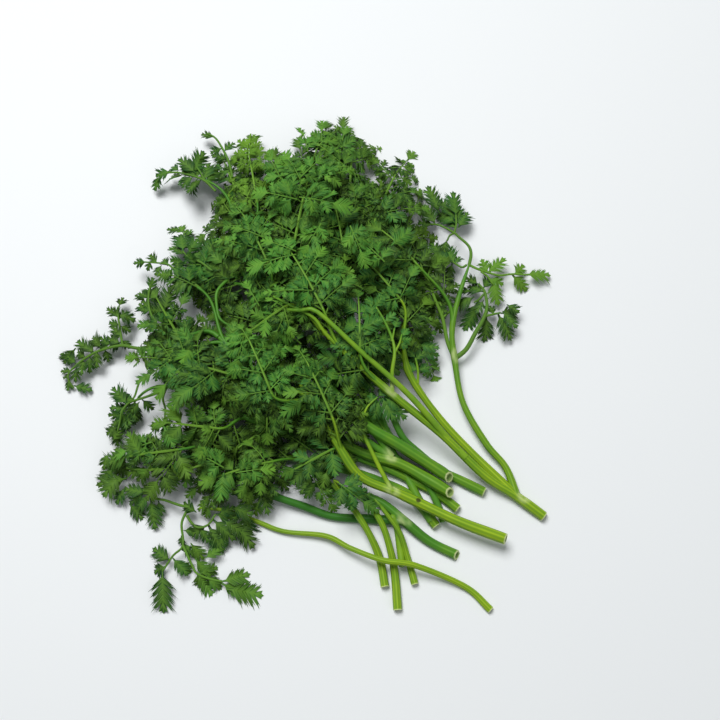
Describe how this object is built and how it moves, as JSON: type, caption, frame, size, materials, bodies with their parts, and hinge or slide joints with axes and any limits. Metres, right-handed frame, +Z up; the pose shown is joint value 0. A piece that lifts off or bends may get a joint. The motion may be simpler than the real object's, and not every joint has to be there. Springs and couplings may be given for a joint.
{
  "type": "chervil bunch",
  "caption": "Cut bunch of fresh chervil lying flat: slender green stems run to one side and ferny, finely lobed fronds pile in a loose mound.",
  "frame": {"origin": "middle of the bunch's outline in plan, on the surface that it lies on", "axes": "+Z up off the surface; the leafy mound lies towards -X and +Y, the cut ends towards +X and -Y"},
  "size_m": [0.2126, 0.2176, 0.0374],
  "materials": {
    "stem": "satin, smooth and finely ridged",
    "leaf": "matt to satin, soft fresh leaf"
  },
  "bodies": {
    "root": {"stem_right": "stem", "stem_front": "stem", "stem_thin": "stem", "stem_dark": "stem", "stem_upper": "stem", "stem_under": "stem", "stem_middle": "stem", "stem_low": "stem", "stem_short": "stem", "stem_tail_left": "stem", "stem_tail_middle": "stem", "stem_tail_right": "stem", "frond_01": "leaf", "frond_02": "leaf", "frond_03": "leaf", "frond_04": "leaf", "frond_05": "leaf", "frond_06": "leaf", "frond_07": "leaf", "frond_08": "leaf", "frond_09": "leaf", "frond_10": "leaf", "frond_11": "leaf", "frond_12": "leaf", "frond_13": "leaf", "frond_14": "leaf", "frond_15": "leaf", "frond_16": "leaf", "frond_17": "leaf", "frond_18": "leaf", "frond_19": "leaf", "frond_20": "leaf", "frond_21": "leaf", "frond_22": "leaf", "frond_23": "leaf", "frond_24": "leaf", "frond_25": "leaf", "frond_26": "leaf", "frond_27": "leaf", "frond_28": "leaf", "frond_29": "leaf", "frond_30": "leaf", "frond_31": "leaf", "frond_32": "leaf", "frond_33": "leaf", "frond_34": "leaf", "frond_35": "leaf", "frond_36": "leaf", "frond_37": "leaf", "frond_38": "leaf", "frond_39": "leaf", "frond_40": "leaf", "frond_41": "leaf", "frond_42": "leaf", "frond_43": "leaf", "frond_44": "leaf", "frond_45": "leaf", "frond_46": "leaf", "frond_47": "leaf", "frond_48": "leaf"}
  },
  "joints": []
}
